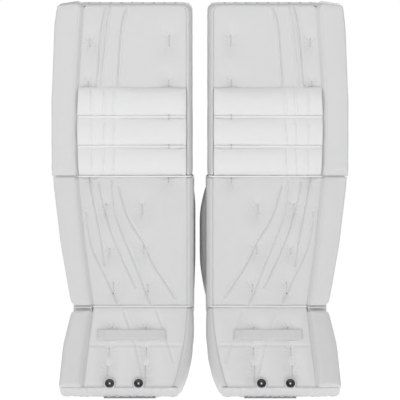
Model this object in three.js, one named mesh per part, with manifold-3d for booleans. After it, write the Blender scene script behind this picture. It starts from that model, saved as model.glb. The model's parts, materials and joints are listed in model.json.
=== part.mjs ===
// A pair of ice goalie leg pads, standing upright as worn, faces towards -Y.
//
// Frame: millimetres, +Z up, -Y the way the wearer faces. The origin is on the ice, midway between
// the two pads and straight below the shins' faces. The wearer's left pad is on the +X side.
//
// Each pad has three stiff sections that meet at two breaks: boot, shin and upper (knee and thigh).
// Every section is a group of its own. In it x runs outwards from the middle of the pair, y is the
// depth behind the face and z runs up along the face, so a tilted section is drawn straight.
import * as THREE from 'three';
import { mergeVertices } from 'three/addons/utils/BufferGeometryUtils.js';
import Module from 'manifold-3d';

const wasm = await Module();
wasm.setup();

// Sections: where the breaks are above the ice, how long each section is, and its forward tilt.
const BOOT_BREAK = 178;
const KNEE_BREAK = 432;
const SHIN_LENGTH = KNEE_BREAK - BOOT_BREAK;
const BOOT_LENGTH = 163;
const UPPER_LENGTH = 332;
const BOOT_TILT = 22;
const UPPER_TILT = 10;

// How far each break can close at the back, in degrees, and the gap left at the face.
const BOOT_CLOSING = 8;
const KNEE_CLOSING = 5;
const BREAK_GAP = 0.5;

// Layers, as depth behind the face. The rolls stand proud of it.
const ROLL_FRONT = -6;
const KNEE_ROLL_FRONT = -9;
const GUSSET_FRONT = 3;
const FACE_BACK = 11.7;
const CORE_FRONT = 12;
const CORE_BACK = 58;
const BACK_FRONT = 58.4;
const BACK_BACK = 66;
const BOOT_BACK = 64;

// Widths from the middle of the pair.
const GUSSET_EDGE = { upper: 14.5, shin: 11.5 };
const FACE_EDGE = { upper: 26.5, shin: 25.5 };
const ROLL_GROOVE = 5.5;
const GAP = 0.5;

// Knee rolls: three, one above the other from the knee break up.
const KNEE_ROLLS = ['bottom', 'middle', 'top'];
const KNEE_ROLL_PITCH = 58;
const KNEE_ROLL_START = 2;

// Leg channel at the back: the padded wall beside the calf, the wraps and the boot strap.
const CALF_WALL = { low: 4, high: 246, inner: 38, back: 150 };
const CALF_BULGE = { left: -1, right: 9 };
const CALF_WRAP = { low: 24, high: 232, thick: 12 };
const KNEE_WRAP = { low: 18, high: 122, thick: 10 };
const KNEE_STACK = { low: 12, high: 150, inner: 24, outer: 76, back: 146 };
const BOOT_STRAP = { low: -86, high: -56, thick: 4 };

// Toe hardware, as places on the boot's face.
const TOE_SCREWS = { inner: 118, outer: 173.5 };
const TOE_SCREW_HEIGHT = -155;
const TOE_BRIDGE = { inner: 86, outer: 188, front: 56, thick: 1.6 };
const WASHER_RADIUS = 12.4;
const SCREW_RADIUS = 8;

const BEVEL_STEPS = 2;
const CORNER_STEPS = 3;

const COLOURS = {
  face: [0xe6e7e8, 0.42, 0],
  roll: [0xdcdee0, 0.4, 0],
  kneeRoll: [0xececec, 0.4, 0],
  gusset: [0xd2d4d6, 0.5, 0],
  core: [0xf0e9d8, 0.9, 0],
  back: [0xc9cbce, 0.6, 0],
  liner: [0xb9bcc0, 0.85, 0],
  strap: [0xd0d2d4, 0.7, 0],
  trim: [0xe2e3e4, 0.5, 0],
  bridge: [0x3a3c40, 0.6, 0],
  metal: [0xb8bcc2, 0.25, 1],
};

function material(kind) {
  const [color, roughness, metalness] = COLOURS[kind];
  return new THREE.MeshStandardMaterial({ color, roughness, metalness });
}

function radians(degrees) {
  return (degrees * Math.PI) / 180;
}

// An outline with its corners rounded: each point is [x, up] or [x, up, radius].
function rounded(outline) {
  const corners = outline.map(([x, up, radius = 0]) => ({ at: new THREE.Vector2(x, up), radius }));
  const points = [];
  corners.forEach(({ at, radius }, i) => {
    if (radius === 0) {
      points.push(at);
      return;
    }
    const before = corners.at(i - 1).at;
    const after = corners[(i + 1) % corners.length].at;
    const start = at.clone().add(before.clone().sub(at).setLength(radius));
    const end = at.clone().add(after.clone().sub(at).setLength(radius));
    points.push(...new THREE.QuadraticBezierCurve(start, at, end).getPoints(CORNER_STEPS));
  });
  return new THREE.Shape(points);
}

function bevelled(shape, thickness, bevel) {
  return new THREE.ExtrudeGeometry(shape, {
    depth: thickness - 2 * bevel,
    bevelEnabled: bevel > 0,
    bevelThickness: bevel,
    bevelSize: bevel,
    bevelOffset: -bevel,
    bevelSegments: BEVEL_STEPS,
  });
}

// A panel: an outline seen from the front, made thick between two depths, its edges rounded.
function panel(outline, front, back, bevel = 0) {
  const geometry = bevelled(rounded(outline), back - front, bevel);
  geometry.rotateX(Math.PI / 2);
  geometry.translate(0, back - bevel, 0);
  return geometry;
}

// A wall: a curve of [x, depth] points seen from above, made thick and raised between two heights.
function wall(route, thick, low, high, bevel = 0) {
  const curve = new THREE.SplineCurve(route.map(([x, depth]) => new THREE.Vector2(x, depth)));
  const steps = 4 * (route.length - 1);
  const left = [];
  const right = [];
  for (let i = 0; i <= steps; i += 1) {
    const at = curve.getPoint(i / steps);
    const along = curve.getTangent(i / steps);
    const across = new THREE.Vector2(-along.y, along.x).multiplyScalar(thick / 2);
    left.push(at.clone().add(across));
    right.push(at.clone().sub(across));
  }
  const geometry = bevelled(new THREE.Shape([...left, ...right.reverse()]), high - low, bevel);
  geometry.translate(0, 0, low + bevel);
  return geometry;
}

function bareCopy(geometry) {
  const bare = geometry.clone();
  bare.deleteAttribute('normal');
  bare.deleteAttribute('uv');
  return bare;
}

function toSolid(geometry) {
  const merged = mergeVertices(bareCopy(geometry));
  return new wasm.Manifold(new wasm.Mesh({
    numProp: 3,
    vertProperties: new Float32Array(merged.attributes.position.array),
    triVerts: new Uint32Array(merged.index.array),
  }));
}

function toGeometry(solid) {
  const mesh = solid.getMesh();
  const geometry = new THREE.BufferGeometry();
  geometry.setAttribute('position', new THREE.BufferAttribute(new Float32Array(mesh.vertProperties), 3));
  geometry.setIndex(new THREE.BufferAttribute(new Uint32Array(mesh.triVerts), 1));
  geometry.computeVertexNormals();
  return geometry;
}

function cut(geometry, ...cutters) {
  let solid = toSolid(geometry);
  for (const cutter of cutters) {
    solid = solid.subtract(toSolid(cutter));
  }
  return toGeometry(solid);
}

// The block beyond a break: everything on one side of a plane that slopes with depth.
// above = 1 removes what is higher than the plane, above = -1 what is lower.
function beyondBreak(height, slopeDegrees, above) {
  const slope = Math.tan(radians(slopeDegrees));
  const near = -60;
  const far = 260;
  const reach = 120;
  const shape = new THREE.Shape([
    new THREE.Vector2(near, height + near * slope),
    new THREE.Vector2(far, height + far * slope),
    new THREE.Vector2(far, height + above * reach + far * slope),
    new THREE.Vector2(near, height + above * reach + near * slope),
  ]);
  const geometry = new THREE.ExtrudeGeometry(shape, { depth: 400, bevelEnabled: false });
  geometry.rotateY(Math.PI / 2);
  geometry.rotateX(Math.PI / 2);
  geometry.translate(-50, 0, 0);
  return geometry;
}

// Outlines of the outer rolls: the edge beside the face and the outer edge, from the bottom up.
const UPPER_ROLL = {
  inner: [[238.5, 1.5], [240.5, 72], [239.5, 142], [234, 223], [225, 338, 15]],
  outer: [[273.5, 332.5, 15], [280, 296], [284, 223], [288.2, 147], [289.8, 1.5]],
};
const LOWER_ROLL = {
  inner: [[210.5, 3, 13], [227.5, 124], [240.6, 252.5]],
  outer: [[287.7, 252.5], [272.8, 124], [251.5, 3, 14]],
};
const BOOT_ROLL = {
  inner: [[225.5, -161.5], [217.5, -80], [211, -9.5, 13]],
  outer: [[251.5, -9.5, 14], [265.7, -80], [271.5, -161.5]],
};
const ROLL_BEVEL = 7;
const END_MARGIN = 8;

// The boot's inner side narrows towards the toe, as the edge of the face and of the gusset.
const BOOT_FACE_EDGE = [[24.5, 0], [30, -62], [38, -108], [48, -149], [54, -BOOT_LENGTH]];
const BOOT_GUSSET_EDGE = [[12.5, 0], [11.8, -43], [15.6, -92], [23, -126], [34, -153], [41, -BOOT_LENGTH]];

function shifted(points, across) {
  return points.map(([x, up]) => [x + across, up]);
}

// The x of a line of points, listed from the bottom up, at any height. Its ends run on straight.
function edgeAt(line, height) {
  const above = line.findIndex(([, up], i) => i > 0 && up >= height);
  const i = above < 0 ? line.length - 1 : above;
  const [x0, up0] = line[i - 1];
  const [x1, up1] = line[i];
  return x0 + ((x1 - x0) * (height - up0)) / (up1 - up0);
}

// The edge of whatever lies beside a roll, from one height up to another. Points of the line that
// are as good as at an end are left out.
function beside(line, across, low, high) {
  const between = line.filter(([, up]) => up > low + END_MARGIN && up < high - END_MARGIN);
  const edge = [[edgeAt(line, low), low], ...between, [edgeAt(line, high), high]];
  return shifted(edge, across);
}

function roll(edges, ...cutters) {
  const shape = panel([...edges.inner, ...edges.outer], ROLL_FRONT, CORE_BACK, ROLL_BEVEL);
  return cut(shape, ...cutters);
}

function addUpper(add) {
  const below = beyondBreak(BREAK_GAP, 0, -1);
  const face = FACE_EDGE.upper;
  const top = UPPER_LENGTH;
  const kneeTop = KNEE_ROLL_START + KNEE_ROLLS.length * KNEE_ROLL_PITCH;

  add('outer_roll_upper', 'roll', roll(UPPER_ROLL, below));

  KNEE_ROLLS.forEach((place, i) => {
    const low = KNEE_ROLL_START + i * KNEE_ROLL_PITCH;
    const high = low + KNEE_ROLL_PITCH - GAP;
    const outline = [
      [face, low],
      [edgeAt(UPPER_ROLL.inner, low) - ROLL_GROOVE, low],
      [edgeAt(UPPER_ROLL.inner, high) - ROLL_GROOVE, high],
      [face, high],
    ];
    add(`knee_roll_${place}`, 'kneeRoll', panel(outline, KNEE_ROLL_FRONT, FACE_BACK, 7));
  });

  const thighEdge = beside(UPPER_ROLL.inner, -ROLL_GROOVE, kneeTop, top);
  thighEdge.at(-1).push(8);
  const thigh = [[face, kneeTop], ...thighEdge, [face, top, 12]];
  add('thigh_face', 'face', panel(thigh, 0, FACE_BACK, 4));

  const besideRoll = beside(UPPER_ROLL.inner, -GAP, BREAK_GAP, top);
  const core = [[face, BREAK_GAP], ...besideRoll, [face, top]];
  add('upper_core', 'core', panel(core, CORE_FRONT, CORE_BACK));

  const edge = GUSSET_EDGE.upper;
  const gusset = [[edge, -10], [face - GAP, -10], [face - GAP, top], [edge, top, 7]];
  add('upper_inner_gusset', 'gusset', cut(panel(gusset, GUSSET_FRONT, CORE_BACK, 3), below));

  const lid = [[edge + 8, top + GAP], [224, top + GAP], [222, top + 3.5], [edge + 10, top + 3.5]];
  add('top_gusset', 'gusset', panel(lid, 2, CORE_BACK, 0));

  const back = [
    [edge, BREAK_GAP],
    [286, BREAK_GAP],
    [282, 223],
    [272, top + 2, 20],
    [edge, top + 2, 14],
  ];
  add('upper_back_panel', 'back', panel(back, BACK_FRONT, BACK_BACK, 2));

  const { low, high, inner, outer } = KNEE_STACK;
  const stack = [[inner, low, 12], [outer, low, 12], [outer, high, 20], [inner, high, 20]];
  add('knee_stack', 'liner', panel(stack, BACK_BACK + GAP, KNEE_STACK.back, 7));
}

function addKneeWrap(add) {
  const route = [[240, 70], [239.5, 106], [220, 141], [172, 156], [104, 152]];
  const { low, high, thick } = KNEE_WRAP;
  add('knee_wrap', 'liner', wall(route, thick, low, high, 3));
}

function addShin(add, side) {
  const below = beyondBreak(BREAK_GAP, BOOT_CLOSING - BOOT_TILT, -1);
  const above = beyondBreak(SHIN_LENGTH - BREAK_GAP, UPPER_TILT - KNEE_CLOSING, 1);
  const face = FACE_EDGE.shin;
  const low = -40;
  const high = SHIN_LENGTH + 20;

  add('outer_roll_lower', 'roll', roll(LOWER_ROLL));

  const faceEdge = beside(LOWER_ROLL.inner, -ROLL_GROOVE, 1, SHIN_LENGTH - 1);
  const front = [[face, 1], ...faceEdge, [face, SHIN_LENGTH - 1]];
  add('shin_face', 'face', panel(front, 0, FACE_BACK, 3));

  const besideRoll = beside(LOWER_ROLL.inner, -GAP, low, high);
  const core = [[face, low], ...besideRoll, [face, high]];
  add('shin_core', 'core', cut(panel(core, CORE_FRONT, CORE_BACK), below, above));

  const edge = GUSSET_EDGE.shin;
  const gusset = [[edge, low], [face - GAP, low], [face - GAP, high], [edge, high]];
  add('shin_inner_gusset', 'gusset', cut(panel(gusset, GUSSET_FRONT, CORE_BACK, 5), below, above));

  const back = [[edge, low], [246, low], [248, 0], [284, high], [edge, high]];
  add('shin_back_panel', 'back', cut(panel(back, BACK_FRONT, BACK_BACK, 2), below, above));

  const { inner } = CALF_WALL;
  const bulge = CALF_BULGE[side];
  const middle = 0.56 * CALF_WALL.high;
  const wallOutline = [
    [edge + 2, CALF_WALL.low],
    [inner, CALF_WALL.low, 14],
    [inner, CALF_WALL.high, 14],
    [edge + 2, CALF_WALL.high],
    [bulge + 1, middle + 55],
    [bulge, middle],
    [bulge + 2, middle - 60],
  ];
  add('inner_calf_wall', 'liner', panel(wallOutline, BACK_BACK + GAP, CALF_WALL.back, 7));
}

function addCalfWrap(add) {
  const route = [[240, 70], [243, 118], [226, 154], [176, 172], [112, 172], [62, 166]];
  const { low, high, thick } = CALF_WRAP;
  add('calf_wrap', 'liner', wall(route, thick, low, high, 4));
}

function addBoot(add) {
  const top = -BREAK_GAP;
  const toe = -BOOT_LENGTH;

  add('outer_roll_boot', 'roll', roll(BOOT_ROLL));

  const outerEdge = beside(BOOT_ROLL.inner, -ROLL_GROOVE, toe, -1);
  const faceOutline = [...outerEdge, [BOOT_FACE_EDGE[0][0], -1], ...BOOT_FACE_EDGE.slice(1)];
  add('boot_face', 'face', panel(faceOutline, 0, FACE_BACK, 3));

  const coreEdge = beside(BOOT_ROLL.inner, -GAP, toe, top);
  const coreOutline = [...coreEdge, [BOOT_FACE_EDGE[0][0], top], ...BOOT_FACE_EDGE.slice(1)];
  add('boot_core', 'core', panel(coreOutline, CORE_FRONT, BOOT_BACK));

  const innerEdge = shifted(BOOT_FACE_EDGE, -GAP).reverse();
  const gusset = [...BOOT_GUSSET_EDGE, ...innerEdge];
  add('boot_inner_gusset', 'gusset', cut(panel(gusset, GUSSET_FRONT, BOOT_BACK, 3), beyondBreak(top, 0, 1)));

  const soleLow = toe - 2.3;
  const sole = [[44, toe - GAP], [44, soleLow], [262, soleLow], [262, toe - GAP]];
  add('toe_gusset', 'gusset', panel(sole, 2, CORE_BACK, 0));

  const bridgeHigh = soleLow - GAP;
  const bridgeLow = bridgeHigh - TOE_BRIDGE.thick;
  const bridge = [
    [TOE_BRIDGE.inner, bridgeHigh],
    [TOE_BRIDGE.inner, bridgeLow],
    [TOE_BRIDGE.outer, bridgeLow],
    [TOE_BRIDGE.outer, bridgeHigh],
  ];
  add('toe_bridge', 'bridge', panel(bridge, TOE_BRIDGE.front, BOOT_BACK, 0));

  const bar = [[66, -68, 2], [199, -68, 2], [199, -47, 2], [66, -47, 2]];
  add('boot_bar', 'strap', panel(bar, -2.4, -GAP / 2, 0));

  const { low, high, thick } = BOOT_STRAP;
  const route = [[56, 66], [50, 112], [78, 158], [140, 176], [202, 158], [230, 112], [226, 66]];
  add('boot_strap', 'strap', wall(route, thick, low, high, 1));

  for (const [place, x] of Object.entries(TOE_SCREWS)) {
    const washer = new THREE.LatheGeometry([
      new THREE.Vector2(SCREW_RADIUS + 0.4, 0),
      new THREE.Vector2(WASHER_RADIUS, 0),
      new THREE.Vector2(WASHER_RADIUS - 0.6, 1.4),
      new THREE.Vector2(SCREW_RADIUS + 1.4, 2.2),
      new THREE.Vector2(SCREW_RADIUS + 0.4, 1.8),
      new THREE.Vector2(SCREW_RADIUS + 0.4, 0),
    ], 20);
    add(`toe_washer_${place}`, 'trim', facing(washer, x));

    const screw = new THREE.LatheGeometry([
      new THREE.Vector2(0, 0),
      new THREE.Vector2(SCREW_RADIUS, 0),
      new THREE.Vector2(SCREW_RADIUS, 1.8),
      new THREE.Vector2(SCREW_RADIUS - 1.6, 3.2),
      new THREE.Vector2(SCREW_RADIUS - 3.2, 2.2),
      new THREE.Vector2(SCREW_RADIUS - 4, 0.8),
      new THREE.Vector2(0, 0.6),
    ], 20);
    add(`toe_screw_${place}`, 'metal', facing(screw, x));
  }
}

// A turned fitting, laid on the boot's face with its axis pointing out of it.
function facing(geometry, x) {
  geometry.rotateX(Math.PI);
  geometry.translate(x, -GAP / 2, TOE_SCREW_HEIGHT);
  return geometry;
}

// The mirror image of a geometry across the middle of the pair, its faces still pointing out.
function mirrored(geometry) {
  const flipped = mergeVertices(bareCopy(geometry));
  flipped.scale(-1, 1, 1);
  const index = flipped.index.array;
  for (let i = 0; i < index.length; i += 3) {
    [index[i], index[i + 1]] = [index[i + 1], index[i]];
  }
  flipped.computeVertexNormals();
  return flipped;
}

function section(pad, height, tiltDegrees) {
  const group = new THREE.Group();
  group.position.z = height;
  group.rotation.x = radians(tiltDegrees);
  pad.add(group);
  return group;
}

function makePad(side) {
  const pad = new THREE.Group();
  const adder = (group) => (name, kind, geometry) => {
    const shape = side === 'left' ? geometry : mirrored(geometry);
    const mesh = new THREE.Mesh(shape, material(kind));
    mesh.name = `${side}_${name}`;
    group.add(mesh);
  };
  const boot = section(pad, BOOT_BREAK, -BOOT_TILT);
  const shin = section(pad, BOOT_BREAK, 0);
  const upper = section(pad, KNEE_BREAK, UPPER_TILT);
  addShin(adder(shin), side);
  addCalfWrap(adder(shin));
  addUpper(adder(upper));
  addKneeWrap(adder(upper));
  addBoot(adder(boot));
  return pad;
}

const group = new THREE.Group();
group.name = 'goalie_leg_pads';
group.add(makePad('right'), makePad('left'));

export default group;
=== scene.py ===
"""The looks of a pair of goalie leg pads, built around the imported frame.

Lengths are in millimetres until a piece is placed, and metres after that. Pieces are drawn once, for
the wearer's left pad on the +X side, in the straight frame of their own section: x across the pad,
depth behind its face and height up along it. Both pads are made from that, the right one mirrored.
"""
import json
import math

import bpy
import numpy as np
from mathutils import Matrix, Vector, noise
from mathutils.bvhtree import BVHTree

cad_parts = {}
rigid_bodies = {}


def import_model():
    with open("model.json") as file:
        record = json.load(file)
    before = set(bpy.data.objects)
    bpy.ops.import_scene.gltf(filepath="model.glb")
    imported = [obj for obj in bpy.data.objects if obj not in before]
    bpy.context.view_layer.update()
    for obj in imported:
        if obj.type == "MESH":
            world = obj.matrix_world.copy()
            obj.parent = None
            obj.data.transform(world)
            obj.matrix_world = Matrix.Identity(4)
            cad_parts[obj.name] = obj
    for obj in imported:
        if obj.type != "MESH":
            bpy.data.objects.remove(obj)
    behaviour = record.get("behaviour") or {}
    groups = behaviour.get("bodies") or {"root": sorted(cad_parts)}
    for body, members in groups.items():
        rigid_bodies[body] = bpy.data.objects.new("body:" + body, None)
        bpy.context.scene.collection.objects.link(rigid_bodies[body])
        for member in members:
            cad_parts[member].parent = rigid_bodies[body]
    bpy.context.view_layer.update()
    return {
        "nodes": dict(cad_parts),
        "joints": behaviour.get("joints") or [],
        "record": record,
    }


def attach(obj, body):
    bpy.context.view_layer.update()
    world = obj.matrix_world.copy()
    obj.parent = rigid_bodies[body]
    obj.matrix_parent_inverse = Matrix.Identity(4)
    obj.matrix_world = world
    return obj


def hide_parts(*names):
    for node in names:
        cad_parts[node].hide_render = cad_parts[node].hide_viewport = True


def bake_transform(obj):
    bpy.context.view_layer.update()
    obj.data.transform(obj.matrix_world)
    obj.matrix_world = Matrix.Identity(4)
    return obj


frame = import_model()

MM = 0.001
SIDES = {"left": 1, "right": -1}
JOINTS = {joint["name"]: joint for joint in frame["joints"]}
MOUNTS = {mount["name"]: mount for mount in frame["record"]["mounts"]}


# ---- camera, floor and light

CAMERA_DISTANCE = 3.2
CAMERA_HEIGHT = 0.386
VIEW_WIDTH = 0.7816  # what the picture's width covers at the pads' faces


def make_camera():
    data = bpy.data.cameras.new("camera")
    data.sensor_width = 36
    data.lens = data.sensor_width * CAMERA_DISTANCE / VIEW_WIDTH
    camera = bpy.data.objects.new("camera", data)
    camera.location = (0, -CAMERA_DISTANCE, CAMERA_HEIGHT)
    camera.rotation_euler = (math.radians(90), 0, 0)
    bpy.context.collection.objects.link(camera)
    bpy.context.scene.camera = camera


def area_light(name, place, aim, size, power):
    data = bpy.data.lights.new(name, "AREA")
    data.shape = "RECTANGLE"
    data.size, data.size_y = size
    data.energy = power
    light = bpy.data.objects.new(name, data)
    light.location = place
    light.rotation_euler = (Vector(aim) - Vector(place)).to_track_quat("-Z", "Y").to_euler()
    bpy.context.collection.objects.link(light)


def make_stage():
    bpy.context.scene.view_settings.view_transform = "Standard"
    world = bpy.data.worlds.new("studio")
    bpy.context.scene.world = world
    world.use_nodes = True
    nodes, links = world.node_tree.nodes, world.node_tree.links
    background = nodes["Background"]
    background.inputs["Color"].default_value = (1, 1, 1, 1)
    background.inputs["Strength"].default_value = 0.46
    seen = nodes.new("ShaderNodeBackground")
    seen.inputs["Color"].default_value = (1, 1, 1, 1)
    path = nodes.new("ShaderNodeLightPath")
    mix = nodes.new("ShaderNodeMixShader")
    links.new(path.outputs["Is Camera Ray"], mix.inputs["Fac"])
    links.new(background.outputs["Background"], mix.inputs[1])
    links.new(seen.outputs["Background"], mix.inputs[2])
    links.new(mix.outputs["Shader"], nodes["World Output"].inputs["Surface"])

    floor_mesh = bpy.data.meshes.new("floor")
    corners = [(-3, -3, 0), (3, -3, 0), (3, 1.2, 0), (-3, 1.2, 0)]
    floor_mesh.from_pydata(corners, [], [(0, 1, 2, 3)])
    floor = bpy.data.objects.new("floor", floor_mesh)
    floor.location.z = -0.0015
    bpy.context.collection.objects.link(floor)
    pale, shader = plain_shader("floor_pale", (0.95, 0.95, 0.95), 0.9)
    shader.inputs["Emission Color"].default_value = (1, 1, 1, 1)
    shader.inputs["Emission Strength"].default_value = 0.55
    floor_mesh.materials.append(pale)

    middle = (0, 0, 0.4)
    area_light("key_softbox", (-0.8, -2.4, 1.9), middle, (1.4, 1.1), 15)
    area_light("front_softbox", (0.4, -3.0, 0.6), middle, (2.4, 1.4), 9)
    area_light("overhead_softbox", (0, 0.2, 2.8), (0, 0.2, 0), (3.0, 3.0), 6)
    area_light("back_softbox", (0.6, 2.6, 1.5), middle, (2.0, 1.6), 14)


# ---- materials

def plain_shader(name, colour, roughness):
    material = bpy.data.materials.new(name)
    material.use_nodes = True
    shader = material.node_tree.nodes["Principled BSDF"]
    shader.inputs["Base Color"].default_value = (*colour, 1)
    shader.inputs["Roughness"].default_value = roughness
    material.diffuse_color = (*colour, 1)
    return material, shader


class Surface:
    """A material under construction: a principled shader and the textures that feed it."""

    def __init__(self, name, colour, roughness):
        self.material, self.shader = plain_shader(name, colour, roughness)
        self.colour, self.roughness = colour, roughness
        self.nodes, self.links = self.material.node_tree.nodes, self.material.node_tree.links
        self.place = self.nodes.new("ShaderNodeTexCoord").outputs["Object"]
        self.height = None
        self.tone = None

    def node(self, kind, output, inputs, **settings):
        """The output of a new node, whose inputs are constants or the outputs of other nodes."""
        node = self.nodes.new(f"ShaderNode{kind}")
        for setting, value in settings.items():
            setattr(node, setting, value)
        for socket, value in inputs.items():
            if isinstance(value, bpy.types.NodeSocket):
                self.links.new(value, node.inputs[socket])
            else:
                node.inputs[socket].default_value = value
        return node.outputs[output]

    def noise(self, scale, detail=2.0, stretch=None):
        place = self.place
        if stretch is not None:
            place = self.node("Mapping", "Vector", {"Vector": place, "Scale": stretch})
        return self.node("TexNoise", "Fac", {"Vector": place, "Scale": scale, "Detail": detail})

    def cells(self, scale):
        return self.node("TexVoronoi", "Distance", {"Vector": self.place, "Scale": scale})

    def waves(self, scale, direction):
        inputs = {"Vector": self.place, "Scale": scale, "Distortion": 0.4}
        return self.node("TexWave", "Fac", inputs, bands_direction=direction)

    def ranged(self, value, low, high):
        return self.node("MapRange", "Result", {"Value": value, "To Min": low, "To Max": high})

    def times(self, a, b):
        return self.node("Math", "Value", {0: a, 1: b}, operation="MULTIPLY")

    def shade(self, value, low, high):
        """Multiplies the colour's brightness by low to high as value goes from 0 to 1."""
        share = self.ranged(value, low, high)
        self.tone = share if self.tone is None else self.times(self.tone, share)

    # Painted shade: darkens the colour, down to darkest, where ambient occlusion finds a crease, groove or
    # recess.
    def painted_crease_shade(self, darkest, distance=0.012):
        occlusion = self.node("AmbientOcclusion", "AO", {"Distance": distance}, samples=8)
        self.shade(occlusion, darkest, 1.0)

    def bump(self, value, strength, distance):
        inputs = {"Height": value, "Strength": strength, "Distance": distance}
        if self.height is not None:
            inputs["Normal"] = self.height
        self.height = self.node("Bump", "Normal", inputs)

    def vary_roughness(self, value, spread):
        rough = self.ranged(value, self.roughness - spread, self.roughness + spread)
        self.links.new(rough, self.shader.inputs["Roughness"])

    def finish(self, **sockets):
        for socket, value in sockets.items():
            self.shader.inputs[socket.replace("_", " ")].default_value = value
        tint = self.node("VectorMath", "Vector", {0: self.colour, "Scale": self.tone}, operation="SCALE")
        self.links.new(tint, self.shader.inputs["Base Color"])
        self.links.new(self.height, self.shader.inputs["Normal"])
        return self.material


def leather(name, colour, roughness=0.42, grain=0.16, coat=0.12):
    surface = Surface(name, colour, roughness)
    surface.shade(surface.noise(7, 3), 0.975, 1.015)
    surface.shade(surface.noise(60, 4), 0.985, 1.01)
    # painted shade in creases and grooves
    surface.painted_crease_shade(0.93, 0.006)
    surface.vary_roughness(surface.noise(35, 3), 0.06)
    surface.bump(surface.noise(28, 3), 0.25, 0.0012)
    surface.bump(surface.cells(620), grain, 0.0004)
    return surface.finish(Coat_Weight=coat, Coat_Roughness=0.34)


# The last argument sets how dark the painted shade in creases gets.
def woven(name, colour, roughness=0.75, pitch=420, depth=0.5, crease_shade=0.82):
    surface = Surface(name, colour, roughness)
    weave = surface.times(surface.waves(pitch, "X"), surface.waves(pitch, "Z"))
    surface.shade(weave, 0.86, 1.05)
    surface.shade(surface.noise(18, 4), 0.93, 1.04)
    # painted shade in creases and between the threads
    surface.painted_crease_shade(crease_shade)
    surface.bump(weave, depth, 0.0005)
    surface.bump(surface.noise(40, 3), 0.2, 0.001)
    return surface.finish(Sheen_Weight=0.12, Sheen_Roughness=0.5)


def suede(name, colour):
    surface = Surface(name, colour, 0.85)
    surface.shade(surface.noise(320, 4), 0.9, 1.05)
    surface.shade(surface.noise(14, 3), 0.94, 1.03)
    # painted shade in creases
    surface.painted_crease_shade(0.75)
    surface.bump(surface.noise(900, 3), 0.35, 0.0003)
    return surface.finish(Sheen_Weight=0.3, Sheen_Roughness=0.45)


def plastic(name, colour, roughness, grain=0.1):
    surface = Surface(name, colour, roughness)
    surface.shade(surface.noise(40, 3), 0.94, 1.05)
    surface.vary_roughness(surface.noise(130, 3), 0.07)
    surface.bump(surface.noise(700, 2), grain, 0.0002)
    return surface.finish()


def metal(name, colour, roughness):
    surface = Surface(name, colour, roughness)
    surface.shade(surface.noise(90, 3), 0.92, 1.05)
    surface.vary_roughness(surface.noise(260, 3, (1, 1, 6)), 0.06)
    surface.bump(surface.noise(500, 2, (1, 1, 8)), 0.08, 0.0001)
    return surface.finish(Metallic=1.0)


def make_materials():
    white = (0.665, 0.665, 0.668)
    return {
        "face": leather("face_leather_white", white),
        # Painted light: the same white leather as the other faces, made lighter to make up for the boot's
        # tilted face catching less light.
        "boot_face": leather("boot_face_leather_white_painted_lit", (0.715, 0.715, 0.718)),
        "knee": leather("knee_roll_leather_white", (0.75, 0.75, 0.752), grain=0.13),
        "roll": leather("outer_roll_leather_white", (0.655, 0.655, 0.66), grain=0.12),
        "gusset": leather("gusset_leather_white", (0.64, 0.64, 0.645), 0.5, 0.3, 0.05),
        "toe": leather("toe_strip_leather", (0.565, 0.565, 0.57), 0.5, 0.3, 0.05),
        "binding": woven("binding_tape", (0.66, 0.66, 0.665), 0.6, 500, 0.3),
        # Painted highlight: the piping is lighter than the leather around it, standing in for the highlights
        # along the welts and the break ridges.
        "piping": leather("piping_leather_painted_highlight", (0.79, 0.79, 0.792), 0.36, 0.1, 0.2),
        # Painted highlight: the seam beads are lighter than the face, standing in for the highlights along
        # the seams.
        "bead": leather("seam_bead_painted_highlight", (0.72, 0.72, 0.722), 0.4, 0.1, 0.1),
        "lace": woven("waxed_lace", (0.72, 0.72, 0.72), 0.55, 700, 0.4, 0.95),
        "thread": woven("sewing_thread", (0.70, 0.70, 0.705), 0.6, 900, 0.3),
        # Painted shade: the near-black buttons stand in for the shade inside punched holes.
        "hole": plastic("punched_hole_painted_shade", (0.05, 0.05, 0.055), 0.8),
        "webbing": woven("strap_webbing", (0.56, 0.565, 0.575), 0.7, 260, 0.7),
        "patch": leather("boot_bar_leather", (0.65, 0.65, 0.655), 0.5, 0.25, 0.05),
        "nylon": woven("back_nylon", (0.52, 0.525, 0.54), 0.7, 330, 0.6),
        "liner": suede("liner_suede", (0.50, 0.505, 0.52)),
        "bridge": plastic("toe_bridge_plastic", (0.2, 0.2, 0.205), 0.5, 0.25),
        "washer": plastic("washer_plastic", (0.60, 0.60, 0.61), 0.35),
        # Painted reflection: the screws are near black to show the dark surroundings they reflect, which the
        # white studio does not give.
        "screw": metal("screw_painted_dark_reflection", (0.06, 0.06, 0.066), 0.22),
        "steel": metal("buckle_steel", (0.62, 0.63, 0.65), 0.28),
    }


# ---- the pad's sections

class Section:
    """A stiff section of the pad: how high its break is and how far it leans forward."""

    def __init__(self, height, tilt):
        self.height = height
        self.sin, self.cos = math.sin(tilt), math.cos(tilt)

    def to_world(self, points):
        x, depth, up = np.asarray(points, float).T
        y = depth * self.cos - up * self.sin
        z = self.height + depth * self.sin + up * self.cos
        return np.stack([x, y, z], 1) * MM

    def to_local(self, points):
        x, y, z = (np.asarray(points, float) / MM).T
        z = z - self.height
        return np.stack([x, y * self.cos + z * self.sin, z * self.cos - y * self.sin], 1)


def make_sections():
    boot_axis = MOUNTS["left_skate_face"]["axis"]
    wrap_axis = JOINTS["left_knee_wrap_open"]["axis"]
    boot_height = JOINTS["left_boot_flex"]["pos_m"][2] / MM
    knee_height = JOINTS["left_knee_flex"]["pos_m"][2] / MM
    return {
        "boot": Section(boot_height, math.atan2(boot_axis[2], boot_axis[1])),
        "shin": Section(boot_height, 0),
        "upper": Section(knee_height, math.atan2(wrap_axis[1], -wrap_axis[2])),
    }


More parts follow.
